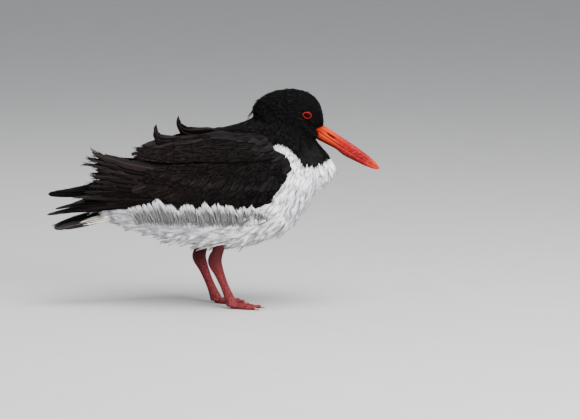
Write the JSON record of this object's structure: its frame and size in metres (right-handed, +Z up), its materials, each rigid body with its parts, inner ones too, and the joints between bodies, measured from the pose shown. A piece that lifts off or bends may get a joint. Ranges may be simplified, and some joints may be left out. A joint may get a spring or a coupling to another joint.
{
  "type": "oystercatcher",
  "caption": "Life-size standing wader for display, neck drawn in, with a long straight bill, folded layered wings, a short fanned tail and bare legs.",
  "frame": {"origin": "on the floor, under the middle of the bird's bounding box", "axes": "+X is where the bird and its bill point, +Y is its left side, +Z is up"},
  "size_m": [0.3335, 0.1267, 0.218],
  "materials": {
    "black_plumage": "overlapping black feathers, slightly glossy, tinged brown on the wing",
    "white_plumage": "soft matte white feathers, a little ruffled",
    "bill_horn": "smooth orange-red horn, redder in the middle, faintly glossy",
    "leg_skin": "dusky pink-red skin with fine scales",
    "eye": "wet, deep red iris with a black pupil",
    "eye_ring": "bare orange-red skin"
  },
  "bodies": {
    "root": {"head": "black_plumage", "neck": "black_plumage", "mantle": "black_plumage", "torso": "white_plumage", "tail": "white_plumage", "wing_left": "black_plumage", "wing_right": "black_plumage", "bill_upper": "bill_horn", "bill_lower": "bill_horn", "eye_left": "eye", "eye_right": "eye", "lids_left": "eye_ring", "lids_right": "eye_ring", "leg_left": "leg_skin", "leg_right": "leg_skin", "foot_left": "leg_skin", "foot_right": "leg_skin"}
  },
  "joints": []
}
